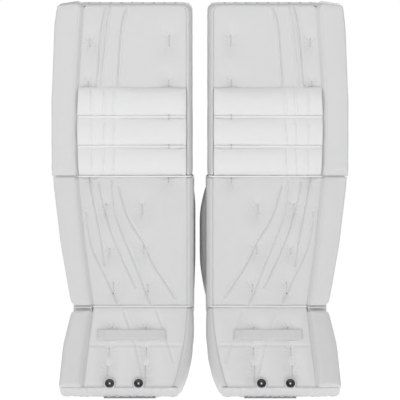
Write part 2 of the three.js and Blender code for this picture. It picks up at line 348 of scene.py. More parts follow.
SECTIONS = make_sections()
SECTION_OF = {"boot": "boot", "shin": "shin", "upper": "upper", "calf_wrap": "shin", "knee_wrap": "upper"}


def cad_mesh(node, section, side="left"):
    """A CAD node as points in its section's frame, as drawn for the left pad, and its faces."""
    mesh = frame["nodes"][f"{side}_{node}"].data
    sign = SIDES[side]
    points = SECTIONS[section].to_local([Vector((sign * v.co.x, v.co.y, v.co.z)) for v in mesh.vertices])
    faces = [tuple(p.vertices) for p in mesh.polygons]
    return outward(points, faces)


class Outline:
    """The outline of a CAD node seen from the front: how high it reaches and its two edges."""

    def __init__(self, node, section):
        points, faces = cad_mesh(node, section)
        self.low, self.high = points[:, 2].min(), points[:, 2].max()
        self.front, self.back = points[:, 1].min(), points[:, 1].max()
        self.middle = (self.low + self.high) / 2
        ends = np.array([pair for f in faces for pair in zip(f, f[1:] + f[:1])])
        self.starts, self.stops = points[ends[:, 0]], points[ends[:, 1]]

    def crossing(self, axis, value):
        """The points where the solid's edges cross a plane of equal depth (axis 1) or height (axis 2)."""
        low, high = (self.front, self.back) if axis == 1 else (self.low, self.high)
        value = min(max(value, low + 0.05), high - 0.05)
        a, b = self.starts, self.stops
        crosses = (a[:, axis] - value) * (b[:, axis] - value) < 0
        a, b = a[crosses], b[crosses]
        share = ((value - a[:, axis]) / (b[:, axis] - a[:, axis]))[:, None]
        return a + share * (b - a)

    def edges(self, height):
        x = self.crossing(2, height)[:, 0]
        return x.min(), x.max()

    def limits(self, depth):
        up = self.crossing(1, depth)[:, 2]
        return up.min(), up.max()


# ---- mesh work

def build(name, points, faces):
    mesh = bpy.data.meshes.new(name)
    mesh.from_pydata([tuple(p) for p in points], [], faces)
    mesh.polygons.foreach_set("use_smooth", [True] * len(mesh.polygons))
    mesh.update()
    piece = bpy.data.objects.new(name, mesh)
    bpy.context.collection.objects.link(piece)
    return piece


def evaluated(piece):
    """The piece's points and faces with its modifiers applied. The piece itself is removed."""
    final = piece.evaluated_get(bpy.context.evaluated_depsgraph_get())
    mesh = final.to_mesh()
    points = np.empty(len(mesh.vertices) * 3)
    mesh.vertices.foreach_get("co", points)
    faces = [tuple(p.vertices) for p in mesh.polygons]
    final.to_mesh_clear()
    bpy.data.objects.remove(piece)
    return points.reshape(-1, 3) / MM, faces


def scratch(points, faces):
    return build("scratch", np.asarray(points) * MM, faces)


def subdivided(points, faces, levels=1):
    piece = scratch(points, faces)
    subsurf = piece.modifiers.new("smooth", "SUBSURF")
    subsurf.levels = levels
    subsurf.render_levels = levels
    return evaluated(piece)


def remeshed(points, faces, voxel):
    piece = scratch(points, faces)
    remesh = piece.modifiers.new("remesh", "REMESH")
    remesh.mode = "VOXEL"
    remesh.voxel_size = voxel * MM
    smooth = piece.modifiers.new("smooth", "SMOOTH")
    smooth.factor = 0.5
    smooth.iterations = 6
    return evaluated(piece)


def publish(name, body, parts, stands_for=(), sides=("left", "right")):
    """Makes a piece on both pads. Parts are (finish, points, faces) in the frame of the piece's section.

    Body is the body that the piece rides on, or the upper and the lower body of a break that it crosses.
    """
    bodies = (body,) if isinstance(body, str) else body
    section = SECTIONS[SECTION_OF[bodies[0]]]
    finishes = list(dict.fromkeys(finish for finish, _, _ in parts))
    points, faces = joined([(p, f) for _, p, f in parts])
    marks = [finishes.index(finish) for finish, _, f in parts for _ in f]
    for side in sides:
        sign = SIDES[side]
        world = section.to_world(points) * (sign, 1, 1)
        piece = build(f"{side}_{name}", world, faces if sign > 0 else [f[::-1] for f in faces])
        for finish in finishes:
            piece.data.materials.append(MATERIALS[finish])
        piece.data.polygons.foreach_set("material_index", marks)
        if stands_for:
            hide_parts(*(f"{side}_{node}" for node in stands_for))
        if len(bodies) == 1:
            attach(piece, f"{side}_{bodies[0]}")
        else:
            bend_across(piece, side, bodies)


def bend_across(piece, side, bodies):
    """Bakes into its points the placement of a piece that crosses the break between an upper body and a
    lower one, after looking up the joint at that break. The piece is not bent.
    """
    joint = next(j for j in frame["joints"] if {j["parent"], j["child"]} == {f"{side}_{b}" for b in bodies})
    x, y, z = joint["pos_m"]
    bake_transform(piece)


def joined(parts):
    """Several (points, faces) as one."""
    all_points, all_faces, start = [], [], 0
    for points, faces in parts:
        all_points.append(np.asarray(points, float))
        all_faces += [tuple(i + start for i in f) for f in faces]
        start += len(points)
    return np.concatenate(all_points), all_faces


def lofted(rings, closed=False):
    """A skin over rings of equally many points, its ends filled unless it closes on itself."""
    count = len(rings[0])
    points = np.concatenate([np.asarray(r, float) for r in rings])
    faces = []
    last = len(rings) if closed else len(rings) - 1
    for k in range(last):
        here, there = k * count, ((k + 1) % len(rings)) * count
        for i in range(count):
            j = (i + 1) % count
            faces.append((here + i, here + j, there + j, there + i))
    if not closed:
        faces.append(tuple(range(count))[::-1])
        faces.append(tuple(range((len(rings) - 1) * count, len(rings) * count)))
    return outward(points, faces)


def outward(points, faces):
    """The same closed mesh with its faces pointing out."""
    volume = 0.0
    for f in faces:
        a = points[f[0]]
        for i in range(1, len(f) - 1):
            volume += np.dot(a, np.cross(points[f[i]], points[f[i + 1]]))
    return points, faces if volume > 0 else [f[::-1] for f in faces]


def smooth_line(controls, steps=10):
    """A Catmull-Rom curve through control points of any dimension."""
    p = np.asarray(controls, float)
    p = np.concatenate([[2 * p[0] - p[1]], p, [2 * p[-1] - p[-2]]])
    line = []
    for i in range(1, len(p) - 2):
        for t in np.arange(steps) / steps:
            a, b, c, d = p[i - 1 : i + 3]
            line.append(0.5 * (2 * b + (c - a) * t + (2 * a - 5 * b + 4 * c - d) * t**2
                               + (3 * b - a - 3 * c + d) * t**3))
    line.append(p[-2])
    return np.array(line)


def to_line(places, line):
    """Each place's distance to a line, and on which side of it the place is, both in the x-height plane."""
    a, ab = line[:-1], np.diff(line, axis=0)
    away = places[:, None] - a
    share = np.clip((away * ab).sum(2) / np.maximum((ab**2).sum(1), 1e-9), 0, 1)
    gap = away - share[..., None] * ab
    distance = np.linalg.norm(gap, axis=2)
    nearest = distance.argmin(1)
    rows = np.arange(len(places))
    direction = ab[nearest]
    side = direction[:, 0] * gap[rows, nearest, 1] - direction[:, 1] * gap[rows, nearest, 0]
    return distance[rows, nearest], np.sign(side)


def reach_of(line):
    """How far along a line each of its points lies."""
    return np.concatenate([[0], np.cumsum(np.linalg.norm(np.diff(line, axis=0), axis=1))])


def sampled(values, reach, at):
    """The values, given at distances reach, read off at other distances."""
    return np.stack([np.interp(at, reach, column) for column in values.T], 1)


def even(line, step):
    """The line with points at even distances."""
    reach = reach_of(line)
    return sampled(line, reach, np.linspace(0, reach[-1], max(2, round(reach[-1] / step))))


def unit(vectors):
    return vectors / np.linalg.norm(vectors, axis=-1, keepdims=True)


def along(line):
    """A line's direction at each of its points."""
    return unit(np.gradient(line, axis=0))


def square_to(vector, direction):
    """The unit vector square to a direction that is nearest to a vector."""
    return unit(vector - direction * np.dot(vector, direction))


def circle(sides):
    """The cosine and sine of each corner of a regular polygon."""
    angles = np.arange(sides) * 2 * math.pi / sides
    return list(zip(np.cos(angles), np.sin(angles)))


def level(x, depth, up):
    """A line of points from numbers or arrays of x, depth and height."""
    return np.stack(np.broadcast_arrays(x, depth, up), 1).astype(float)


def bell(distance, width):
    return np.exp(-((distance / width) ** 2))


def ripple(points, size, seed=0.0):
    """Smooth noise from -1 to 1 whose bumps are about size across."""
    shift = Vector((seed, 3.7 * seed, 1.3 * seed))
    return np.array([noise.noise(Vector(p) / size + shift) for p in points])


# ---- stuffing by cloth simulation

class Stuffing:
    """Covers that are blown up together by cloth under pressure, without gravity."""

    frames = 20
    pressure = 4.0

    def __init__(self):
        self.covers = {}

    def add(self, name, points, faces, cap, pinned=None, room=None):
        """No point moves further than cap, and all stay in room, the lowest and highest corner."""
        self.covers[name] = {"points": points, "faces": faces, "cap": cap, "pinned": pinned, "room": room}

    def run(self):
        for cover in self.covers.values():
            cover["piece"] = self.dressed(cover)
        for step in range(1, self.frames + 1):
            bpy.context.scene.frame_set(step)
        for cover in self.covers.values():
            moved, _ = evaluated(cover["piece"])
            cover["points"] = self.held(cover, moved)
        bpy.context.scene.frame_set(1)

    def dressed(self, cover):
        piece = scratch(cover["points"], cover["faces"])
        cloth = piece.modifiers.new("cloth", "CLOTH")
        settings = cloth.settings
        settings.quality = 4
        settings.use_pressure = True
        settings.uniform_pressure_force = self.pressure
        settings.effector_weights.gravity = 0
        cloth.point_cache.frame_start = 1
        cloth.point_cache.frame_end = self.frames
        if cover["pinned"] is not None:
            pins = piece.vertex_groups.new(name="pins")
            pins.add([int(i) for i in np.flatnonzero(cover["pinned"])], 1.0, "REPLACE")
            settings.vertex_group_mass = "pins"
        return piece

    @staticmethod
    def held(cover, moved):
        shift = moved - cover["points"]
        far = np.linalg.norm(shift, axis=1, keepdims=True)
        soft = cover["cap"] * np.tanh(far / cover["cap"]) / np.maximum(far, 1e-6)
        points = cover["points"] + shift * soft
        return points if cover["room"] is None else np.clip(points, *cover["room"])

    def result(self, name, levels=1):
        cover = self.covers[name]
        return subdivided(cover["points"], cover["faces"], levels)


def drop(distance, rim):
    """How far a rounded border falls away, from 1 at the very edge to 0 at rim."""
    inside = 1 - np.clip(distance / rim, 0, 1)
    return 1 - np.sqrt(np.maximum(1 - inside**2, 0))


def stations(length, step, rim):
    """Distances along a side, closer together near its two ends."""
    near = rim * np.array([0, 0.1, 0.35, 0.7, 1.1])
    count = max(2, round((length - 2 * near[-1]) / step))
    middle = np.linspace(near[-1], length - near[-1], count + 1)
    return np.concatenate([near[:-1], middle, length - near[-2::-1]])


def panel_mesh(edges, low, high, face, back, rim, step=5.0, fall=0.8):
    """A closed panel between two heights. Its border is rounded off, by the share fall of its thickness."""
    heights = stations(high - low, step, rim)
    left, right = edges((low + high) / 2)
    columns = stations(right - left, step, rim) / (right - left)
    fronts, backs = [], []
    for h in heights:
        left, right = edges(low + h)
        x = left + (right - left) * columns
        across = drop(np.minimum(x - left, right - x), rim)
        along = drop(np.minimum(h, high - low - h), rim)
        depth = face + (back - face) * fall * (1 - (1 - across) * (1 - along))
        up = np.full_like(x, low + h)
        fronts.append(np.stack([x, depth, up], 1))
        backs.append(np.stack([x, np.full_like(x, back), up], 1))
    rows, cols = len(heights), len(columns)
    points = np.concatenate(fronts + backs)
    offset = rows * cols
    faces = []
    for a in range(offset - cols):
        if (a + 1) % cols:
            square = (a, a + 1, a + cols + 1, a + cols)
            faces += [square, tuple(offset + square[k] for k in (0, 3, 2, 1))]
    grid = np.arange(offset).reshape(rows, cols)
    rim_loop = [*grid[0], *grid[1:, -1], *grid[-1, -2::-1], *grid[-2:0:-1, 0]]
    for a, b in zip(rim_loop, rim_loop[1:] + rim_loop[:1]):
        faces.append((int(b), int(a), int(a) + offset, int(b) + offset))
    return outward(points, faces)


# ---- small parts laid on a surface

STITCH_RADIUS = 0.3
STITCH_SINK = STITCH_RADIUS * np.array([[0.7], [-0.15], [-0.15], [0.7]])  # its ends dip under the surface


class Skin:
    """A finished surface that small parts are laid on."""

    def __init__(self, points, faces):
        self.tree = BVHTree.FromPolygons([tuple(p) for p in points], faces)

    def at(self, x, up, lift=0.0):
        """The point of the front at x and height, or the nearest to it, and its normal."""
        hit, normal, _, _ = self.tree.ray_cast(Vector((x, -400, up)), Vector((0, 1, 0)))
        if hit is None:
            hit, normal, _, _ = self.tree.find_nearest(Vector((x, 0, up)))
        if normal.y > 0:
            normal.negate()
        return np.array(hit + normal * lift), np.array(normal)

    def run_back(self, x, depths, rise, lift):
        """Places and normals at one x, seen from above (rise -1) or from below (rise 1)."""
        spots = []
        for depth in depths:
            hit, normal, _, _ = self.tree.ray_cast(Vector((x, depth, -500 * rise)), Vector((0, 0, rise)))
            spots.append((hit + normal * lift, normal))
        return np.array(spots).transpose(1, 0, 2)


def tube(line, radius, sides=8, flat=1.0, normals=None):
    """A round or flattened tube along a line of points. Radius may differ from point to point."""
    line = np.asarray(line, float)
    normals = np.broadcast_to((0.0, -1.0, 0.0), line.shape) if normals is None else normals
    rings = []
    for p, t, n, r in zip(line, along(line), normals, np.broadcast_to(radius, len(line))):
        n = square_to(n, t)
        b = np.cross(t, n)
        rings.append([p + r * (c * b + flat * s * n) for c, s in circle(sides)])
    return lofted(rings)


def strap(line, across, width, thick, bevel=0.35):
    """A flat strap along a line, with its width along the direction across."""
    line = np.asarray(line, float)
    half, edge, b = width / 2, thick / 2, bevel * thick
    side = [(-half, b - edge), (b - half, -edge), (0, -edge), (half - b, -edge), (half, b - edge)]
    profile = side + [(-u, -v) for u, v in side]
    rings = []
    for p, t in zip(line, along(line)):
        a = square_to(across, t)
        n = np.cross(a, t)
        rings.append([p + a * u + n * v for u, v in profile])
    return subdivided(*lofted(rings))


def stitches(line, normals, length=3.2, gap=1.5):
    """Thread stitches along a line of surface points."""
    reach = reach_of(line)
    parts = []
    for start in np.arange(gap, reach[-1] - length, length + gap):
        at = np.linspace(start, start + length, 4)
        places, facing = sampled(line, reach, at), sampled(normals, reach, at)
        parts.append(("thread", *tube(places - facing * STITCH_SINK, STITCH_RADIUS, 5, 1.0, facing)))
    return parts


def laid(skin, path, lift=0.0, step=2.0):
    """A line of (x, height) points laid on a skin: places and normals."""
    spots = [skin.at(x, up, lift) for x, up in even(np.asarray(path, float), step)]
    return np.array(spots).transpose(1, 0, 2)


def lathe(profile, centre, closed=False, sides=48):
    """A turned part with its axis along depth. Its profile of (radius, depth) may close on itself."""
    x, up = centre
    rings = [[(x + r * c, depth, up + r * s) for c, s in circle(sides)] for r, depth in profile]
    return lofted(rings, closed)


# ---- faces: thigh, shin and boot panels

# Seams as a few (x, height) points each, and laces as (x, upper end, lower end).
FACES = {
    "thigh": {
        "body": "upper",
        "overlap": 4.0,
        "seams": [
            [(181.7, 328), (191.5, 271), (196.8, 203), (203, 177)],
            [(173, 330), (180, 279), (192.7, 180)],
            [(141, 327), (150.7, 285), (159, 180)],
        ],
        "laces": [(59.6, 274.6, 253.8), (212.4, 267.7, 253), (60.8, 188, 175.5), (216.7, 185, 175.5)],
    },
    "shin": {
        "body": "shin",
        "overlap": 0.5,
        "seams": [
            [(158.3, 234), (140, 175), (111, 126), (91, 84), (49, 19)],
            [(172.5, 247), (166, 185), (150, 139.5), (120.6, 68), (97.7, 6.6)],
            [(198.7, 244), (182.3, 178.6), (162.8, 120), (125.4, 38.5)],
            [(223, 185), (210, 114), (179, 48), (163, 9)],
            [(215, 247), (205, 195), (190.5, 120), (185.6, 81)],
        ],
        "laces": [
            (215.9, 253, 243.5), (61.4, 253, 243.5), (183.3, 200, 181), (113.3, 200, 181), (176.8, 113, 102),
            (110.4, 118, 102), (169.2, 46, 25), (102.4, 42, 29),
        ],
    },
    "boot": {
        "body": "boot",
        "finish": "boot_face",
        "beaded": False,
        "overlap": 0.3,
        "relief": 0.45,
        "fittings": ("boot_bar", "toe_washer_inner", "toe_washer_outer"),
        "seams": [
            [(217, -79), (130, -78.6), (37, -79)],
            [(148, -12), (128, -70), (108, -150)],
            [(84, -8), (66, -60), (50, -112)],
        ],
        "laces": [
            (175.9, -83.5, -98), (103.8, -83.5, -96), (177.8, -119, -138), (105.5, -119, -142),
            (171, -41, -48), (105, -41, -48),
        ],
    },
}
FACE_RIM = 3.0
FACE_SPREAD = (-0.8, 4.0)  # how far a cover reaches past its solid's edges, under the strip and the roll
FACE_FALL = 0.22
SLACK = 1.5  # how far inside its solid a cover starts before it is stuffed
TUFT = 1.4  # how far a lace pulls the face in


def start_face(name):
    """A flat cover, held along its seams and drawn in at its laces."""
    spec = FACES[name]
    outline = Outline(f"{name}_face", spec["body"])
    spec["outline"] = outline
    points, faces = panel_mesh(
        lambda up: np.add(outline.edges(up), FACE_SPREAD), outline.low - spec["overlap"],
        outline.high + 0.6, outline.front + SLACK, outline.back, FACE_RIM, fall=FACE_FALL)
    front = points[:, 1] < outline.back - 0.2
    places = points[:, [0, 2]]
    pinned = ~front | (points[:, 1] > outline.front + SLACK + 0.5)
    for seam in spec["seams"]:
        distance, _ = to_line(places, smooth_line(seam))
        pinned |= distance < 2.2
    for x, top, bottom in spec["laces"]:
        distance, _ = to_line(places, np.array([(x, top), (x, bottom)]))
        points[:, 1] += front * TUFT * bell(distance, 9)
        pinned |= distance < 3
    for node in spec.get("fittings", ()):
        solid, _ = cad_mesh(node, spec["body"])
        beside = np.maximum(solid.min(0) - points, points - solid.max(0))
        pinned |= (beside[:, 0] < 3) & (beside[:, 2] < 3)
    STUFFING.add(name, points, faces, 2.4, pinned)


def finish_face(name):
    spec = FACES[name]
    outline = spec["outline"]
    points, faces = STUFFING.result(name, 2)
    places = points[:, [0, 2]]
    share = np.clip((outline.back - 2 - points[:, 1]) / 4, 0, 1)
    change = 0.5 * ripple(points, 55, 3) + 0.25 * ripple(points, 17, 8)
    relief = spec.get("relief", 1.0)
    for i, seam in enumerate(spec["seams"]):
        distance, side = to_line(places, smooth_line(seam))
        change += relief * (0.9 * bell(distance, 2.4) - 0.7 * bell(distance - 5, 2.8))
        change -= relief * (1.3 if i % 2 else -1.1) * (side > 0) * np.exp(-distance / 13)
    for i, (x, top, bottom) in enumerate(spec["laces"]):
        line = np.array([(x, top), (x, bottom)])
        distance, _ = to_line(places, line)
        across = places - line.mean(0)
        angle = np.arctan2(across[:, 1], across[:, 0])
        pucker = np.sin(9 * angle + i) * bell(distance - 7, 4.5)
        change += 3.0 * bell(distance, 17) + 0.7 * bell(distance, 4) + 0.45 * pucker
    points[:, 1] += share * change
    finish = spec.get("finish", "face")
    publish(f"{name}_cover", spec["body"], [(finish, points, faces)], [f"{name}_face"])
    sew_face(name, Skin(points, faces))


STITCH_BESIDE = 2.4  # how far a line of stitches runs from its seam
BEAD_BESIDE = 1.6
BEAD_RADIUS = 1.5


def sew_face(name, skin):
    """The stitches and beads beside the seams, and the laces with the holes that they pass through."""
    spec = FACES[name]
    parts = []
    for seam in spec["seams"]:
        curve = smooth_line(seam)
        parts += stitches(*laid(skin, curve + (STITCH_BESIDE, 0)))
        if spec.get("beaded", True):
            # the bead's lighter colour is a painted highlight along the seam
            line, facing = laid(skin, curve - (BEAD_BESIDE, 0), lift=0.1)
            from_end = np.minimum(np.arange(len(line)), np.arange(len(line))[::-1])
            radius = BEAD_RADIUS * np.clip(from_end / 8, 0.2, 1)
            parts.append(("bead", *tube(line, radius, 10, 0.45, facing)))
    for lace in spec["laces"]:
        parts += lacing(skin, *lace)
    publish(f"{name}_lacing", spec["body"], parts)


def lacing(skin, x, top, bottom):
    """One lace between two punched holes."""
    parts = [hole(*skin.at(x, up, lift=-0.4), 1.9, 0.9) for up in (top, bottom)]
    line, facing = laid(skin, [(x, top), (x, bottom)], lift=0.5, step=1.5)
    line[0] -= facing[0] * 1.2
    line[-1] -= facing[-1] * 1.2
    parts.append(("lace", *tube(line, 0.7, 8, 0.7, facing)))
    return parts


HOLE_PROFILE = ((0.05, 0.5), (0.7, 0.42), (0.95, 0.2), (1.0, -0.2), (0.9, -0.5), (0.05, -0.5))


def hole(centre, normal, radius, height):
    """A punched hole, drawn as a low dark button on the surface: its dark colour is painted shade standing
    in for the shaded inside of the hole.
    """
    side = unit(np.cross(normal, (0.3, 0.2, 0.9)))
    other = np.cross(normal, side)
    rings = []
    for share, lift in HOLE_PROFILE:
        middle = centre + np.multiply(normal, lift * height)
        rings.append([middle + radius * share * (c * side + s * other) for c, s in circle(14)])
    return ("hole", *lofted(rings))


# ---- knee rolls

KNEE_ROLLS = ("bottom", "middle", "top")
# Each seam's x at the foot and at the top of the stack.
KNEE_ROLL_SEAMS = [(209.3, 209.3), (187.6, 182.9), (168.8, 163.4)]
KNEE_RIM = 3.0
KNEE_FALL = 0.05
# How far each roll falls away to its lower and upper edge.
KNEE_CROWN = {"bottom": (9.0, 5.5), "middle": (5.5, 5.5), "top": (5.5, 9.0)}
KNEE_GROOVE = 0.3
WELT_RADIUS = 2.7
WELT_DEPTH = -2.4


def knee_seams():
    low, high = Outline("knee_roll_bottom", "upper").low, Outline("knee_roll_top", "upper").high
    return [np.array([(foot, low), (top, high)]) for foot, top in KNEE_ROLL_SEAMS]


def start_knee_roll(place):
    outline = Outline(f"knee_roll_{place}", "upper")
    low = outline.low + (KNEE_GROOVE if place != "bottom" else -2.2)
    high = outline.high - KNEE_GROOVE
    points, faces = panel_mesh(
        lambda up: np.add(outline.edges(up), FACE_SPREAD), low, high, outline.front + 1.5, outline.back,
        KNEE_RIM, fall=KNEE_FALL)
    pinned = points[:, 1] > outline.back - 3
    for seam in knee_seams():
        distance, _ = to_line(points[:, [0, 2]], seam)
        pinned |= distance < 2.5
    room = ((0, outline.front - 4, low - 0.6), (400, outline.back, high + 0.6))
    STUFFING.add(f"knee_{place}", points, faces, 2.4, pinned, room)


def finish_knee_roll(place):
    outline = Outline(f"knee_roll_{place}", "upper")
    points, faces = STUFFING.result(f"knee_{place}", 2)
    share = np.clip((outline.back - 3 - points[:, 1]) / 6, 0, 1)
    change = 0.5 * ripple(points, 45, 5) + 0.2 * ripple(points, 14, 1)
    height = (points[:, 2] - outline.low) / (outline.high - outline.low) * 2 - 1
    change += np.where(height < 0, *KNEE_CROWN[place]) * np.abs(height) ** 2.2
    seams = knee_seams()
    for seam in seams:
        distance, side = to_line(points[:, [0, 2]], seam)
        change += 0.8 * bell(distance, 2.2) - 0.8 * (side > 0) * np.exp(-distance / 8)
    points[:, 1] += share * change
    publish(f"knee_roll_{place}_cover", "upper", [("knee", points, faces)],
            [f"knee_roll_{place}"])
    skin = Skin(points, faces)
    parts = []
    for seam in seams:
        ends = [(seam[0][0] + (seam[1][0] - seam[0][0]) * s + STITCH_BESIDE, up)
                for s, up in ((0.15, outline.low + 8), (0.85, outline.high - 8))]
        parts += stitches(*laid(skin, ends))
    publish(f"knee_roll_{place}_stitching", "upper", parts)


KNEE_LACE_X = 60.6


def make_welts():
    """The piping between the knee rolls, with the lace that crosses it."""
    for low_place, high_place in zip(KNEE_ROLLS, KNEE_ROLLS[1:]):
        below, above = (Outline(f"knee_roll_{p}", "upper") for p in (low_place, high_place))
        up = (below.high + above.low) / 2
        left, right = below.edges(below.high - 3)
        x = np.linspace(left + 0.2, right + 3.4, 60)
        line = level(x, WELT_DEPTH, up)
        line[:, 2] += 0.4 * ripple(line, 30, 2)
        radius = np.full(len(x), WELT_RADIUS)
        radius[[0, -1]] = WELT_RADIUS * 0.5
        lace = np.array([(KNEE_LACE_X, WELT_DEPTH + d, up + h)
                         for h, d in ((-5, 0.5), (-3, -2.2), (0, -3.5), (3, -2.2), (5, 0.5))])
        # the piping's lighter colour is a painted highlight
        parts = [("piping", *tube(line, radius, 12)), ("lace", *tube(smooth_line(lace, 4), 1.0, 8, 0.6))]
        for h in (-4.6, 4.6):
            parts.append(hole((KNEE_LACE_X, WELT_DEPTH - 1.6, up + h), (0, -1, 0), 1.0, 0.8))
        publish(f"knee_welt_{low_place}_{high_place}", "upper", parts)


# ---- outer rolls and other stuffed blocks

def shrunk(points, by):
    """The points drawn in towards their middle, so that their box loses that much on each side."""
    low, high = points.min(0), points.max(0)
    middle, half = (low + high) / 2, (high - low) / 2
    return middle + (points - middle) * (half - np.asarray(by)) / half


def start_block(node, body, voxel=5.0, cap=3.0, by=2.0, side="left"):
    """A stuffed block shaped as a CAD solid: a wrap, the calf wall or the knee stack."""
    points, faces = cad_mesh(node, SECTION_OF[body], side)
    room = (points.min(0) + 0.3, points.max(0) - 0.3)
    STUFFING.add(f"{side}_{node}", *remeshed(shrunk(points, by), faces, voxel), cap, None, room)


# Each outer roll's body, how far its top slants down outwards, and its corner radii: lower inner, lower
# outer, upper inner, upper outer.
OUTER_ROLLS = {
    "outer_roll_upper": ("upper", 5.0, (1, 1, 13, 5)),
    "outer_roll_lower": ("shin", 0.0, (3, 10, 1, 1)),
    "outer_roll_boot": ("boot", 0.0, (1, 1, 4, 10)),
}
# Round an outer roll: (x beyond its inner or outer edge, depth beyond its front), towards the front.
ROLL_INNER = [
    (1, 63.5), (0, 60), (0, 44), (-1, 26), (-4.2, 17), (-5.2, 12.5), (-4.6, 9.6), (-2.2, 7), (3.2, 1.9),
    (4.6, 0.6), (6.2, 0.1),
]
ROLL_OUTER = [
    (-3.6, 0.0), (-1.6, 0.4), (-0.4, 1.5), (0, 3.4), (0, 12), (0, 30), (0, 46), (0, 60), (-1.5, 63.5),
]
ROLL_RIM = 3.0
ROLL_END = 30.0  # how near its ends a roll's solid is still as wide as it is drawn
ROLL_REACH = 1.7  # how far past its solid's ends a roll's cover runs, to close the gaps at the breaks
SLANT_LENGTH = 45.0
ROLL_STITCH_INSET = 7.4


def roll_edges(outline, up):
    """A roll's inner and outer edge at a height, run on straight past where its solid is rounded."""
    inside = min(max(up, outline.low + ROLL_END), outline.high - ROLL_END)
    step = ROLL_END if inside < (outline.low + outline.high) / 2 else -ROLL_END
    here, further = np.array(outline.edges(inside)), np.array(outline.edges(inside + step))
    return here + (here - further) * (inside - up) / step


def start_roll(node, body, slant, corners):
    outline = Outline(node, SECTION_OF[body])
    low, high = outline.low - ROLL_REACH, outline.high + ROLL_REACH
    rings = []
    ends = np.array([0, 0.3, 1, 2.2, 4, 6.5, 9.5])
    middle = np.linspace(13, high - low - 13, round((high - low) / 5))
    for h in np.concatenate([ends, middle, high - low - ends[::-1]]):
        from_top = high - low - h
        near = drop(min(h, from_top), ROLL_RIM)
        inner, outer = roll_edges(outline, low + h)
        inner += max(drop(h, corners[0]) * corners[0], drop(from_top, corners[2]) * corners[2])
        outer -= max(drop(h, corners[1]) * corners[1], drop(from_top, corners[3]) * corners[3])
        front = outline.front + SLACK
        across = np.linspace(inner + 9, outer - 9, 6)
        ring = [(inner + x, front + d) for x, d in ROLL_INNER] + [(x, front) for x in across]
        ring += [(outer + x, front + d) for x, d in ROLL_OUTER]
        ring += [(x, outline.back) for x in across[::-1]]
        fall = slant * max(0, 1 - from_top / SLANT_LENGTH)
        rings.append([(x, max(d, front + 2.6 * near), low + h - fall * (x - inner) / (outer - inner))
                      for x, d in ring])
    for k in (0, -1):
        flat = np.array(rings[k])
        rings.insert(0 if k == 0 else len(rings), flat.mean(0) + (flat - flat.mean(0)) * 0.5)
    points, faces = lofted(rings)
    room = (points.min(0) - (0.2, 1.2, 0.2), points.max(0) + (0.2, 0, 0.2))
    STUFFING.add(node, points, faces, 1.0, points[:, 1] > outline.back - 4, room)


def finish_roll(node, body):
    points, faces = STUFFING.result(node, 2)
    outline = Outline(node, SECTION_OF[body])
    share = np.clip((outline.front + 14 - points[:, 1]) / 8, 0, 1)
    points[:, 1] += share * (0.6 * ripple(points, 70, 6) + 0.15 * ripple(points, 20, 4))
    publish(f"{node}_cover", body, [("roll", points, faces)], [node])
    skin = Skin(points, faces)
    heights = np.linspace(outline.low + 12, outline.high - 12, 24)
    edge = [(outline.edges(h)[0] + ROLL_STITCH_INSET, h) for h in heights]
    publish(f"{node}_stitching", body, stitches(*laid(skin, edge)))


def finish_block(node, body, name, finish, sides=("left", "right")):
    mesh = STUFFING.result(f"{sides[0]}_{node}")
    publish(name, body, [(finish, *mesh)], [node], sides)
    return mesh


# ---- inner edge, top and toe

# Across an edge strip, from under the face's border, over its bead, and back along the wall: (share of
# the strip's reach outside the border, depth).
STRIP_PROFILE = [
    (-0.08, 9), (-0.03, 2.6), (0.04, 0.9), (0.14, 0.0), (0.26, -0.3), (0.38, 0.1), (0.47, 1.2), (0.54, 2.8),
    (0.66, 4.2), (0.78, 6.2), (0.89, 9.0), (0.97, 14), (1.0, 24), (1.0, 42), (1.0, 54), (0.96, 57),
    (0.86, 58), (-0.08, 58),
]
TOP_CORNER = 11.0
TOP_REACH = 4.2
TOP_LACES = 9
TOP_LACE_START = 48.0
TOP_LACE_PITCH = 20.8
TOP_LACE_DEPTHS = (20.0, 36.0)
TOE_TICKS = (217, 200, 176, 139, 116, 97, 78)


def strip_mesh(path, stretch=None):
    """An edge strip along (x, height, outward x, outward height, reach) places of a face's border."""
    rings = []
    for x, up, out_x, out_up, reach in path:
        rings.append([(x + share * reach * out_x, depth, up + share * reach * out_up)
                      for share, depth in STRIP_PROFILE])
    points, faces = lofted(rings)
    if stretch is not None:
        points[:, 2] = stretch(points[:, 1], points[:, 2])
    points, faces = subdivided(points, faces)
    wave = 0.35 * ripple(points, 22, 9) + 0.15 * ripple(points, 7, 5)
    points[:, 0] += wave * (points[:, 1] > 4)
    return points, faces


def upper_strip():
    face, gusset = Outline("thigh_face", "upper"), Outline("upper_inner_gusset", "upper")
    left, _ = face.edges(face.middle)
    _, right = face.edges(face.high - 14)
    reach = left - gusset.edges(gusset.high / 2)[0]
    top, corner = face.high - 0.4, TOP_CORNER
    path = [(left, up, -1, 0, reach) for up in np.linspace(gusset.low - 0.3, top - corner, 50)]
    for angle in np.linspace(0, math.pi / 2, 12)[1:]:
        out_x, out_up = -math.cos(angle), math.sin(angle)
        share = math.sin(angle) ** 2
        path.append((left + corner + corner * out_x, top - corner + corner * out_up, out_x, out_up,
                     reach + (TOP_REACH - reach) * share))
    path += [(x, top, 0, 1, TOP_REACH) for x in np.linspace(left + corner, right + 9, 36)[1:]]
    points, faces = strip_mesh(path)
    skin = Skin(points, faces)
    parts = [("gusset", points, faces)]
    for k in range(TOP_LACES):
        parts += top_lace(skin, TOP_LACE_START + k * TOP_LACE_PITCH)
    publish("upper_edge", "upper", parts, ["upper_inner_gusset", "top_gusset"])


def top_lace(skin, x):
    """A lace over the top strip, from front to back, between two holes."""
    places, facing = skin.run_back(x, np.linspace(*TOP_LACE_DEPTHS, 8), -1, 0.3)
    parts = [hole(places[end] - facing[end] * 0.3, facing[end], 2.2, 0.8) for end in (0, -1)]
    places[[0, -1]] -= facing[[0, -1]]
    parts.append(("lace", *tube(places, 1.0, 8, 0.6, facing)))
    return parts


